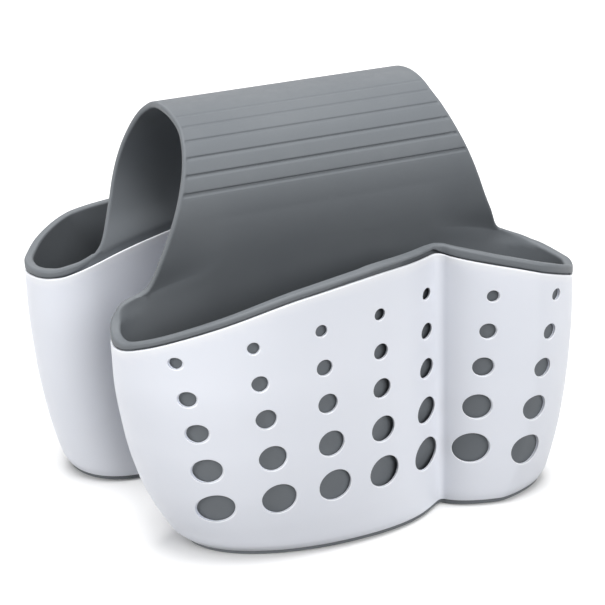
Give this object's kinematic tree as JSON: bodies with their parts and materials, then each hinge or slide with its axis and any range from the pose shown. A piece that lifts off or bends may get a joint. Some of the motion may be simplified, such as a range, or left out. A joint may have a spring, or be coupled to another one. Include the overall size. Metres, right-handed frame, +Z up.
{
  "type": "sink caddy",
  "caption": "Double sink caddy: perforated rigid baskets with soft pocket liners, joined by a looped soft saddle band that hangs over a divider.",
  "frame": {"origin": "on the standing surface, midway between the two baskets, at the middle of the whole footprint", "axes": "+X along the baskets and the band's width, +Y from the front basket to the back basket, +Z up"},
  "size_m": [0.192, 0.1482, 0.1621],
  "materials": {
    "shell_white": "satin, moulded",
    "soft_grey": "matte, moulded"
  },
  "bodies": {
    "back_holder": {"back_liner": "soft_grey", "saddle_back_leg": "soft_grey", "saddle_crown": "soft_grey"},
    "front_holder": {"front_liner": "soft_grey", "saddle_front_leg": "soft_grey"},
    "front_basket": {"front_shell": "shell_white"},
    "back_basket": {"back_shell": "shell_white"}
  },
  "joints": [
    {"name": "saddle_flex", "type": "hinge", "parent": "back_holder", "child": "front_holder", "pos_m": [0, 0, 0.1608], "axis": [-1, 0, 0], "range_deg": [-6, 60], "stiffness_Nm_per_rad": 0.12, "deforming": ["saddle_crown"]},
    {"name": "front_shell_slide", "type": "slide", "parent": "front_holder", "child": "front_basket", "axis": [0, 0, -1], "range_m": [0, 0.115]},
    {"name": "back_shell_slide", "type": "slide", "parent": "back_holder", "child": "back_basket", "axis": [0, 0, -1], "range_m": [0, 0.115]}
  ]
}
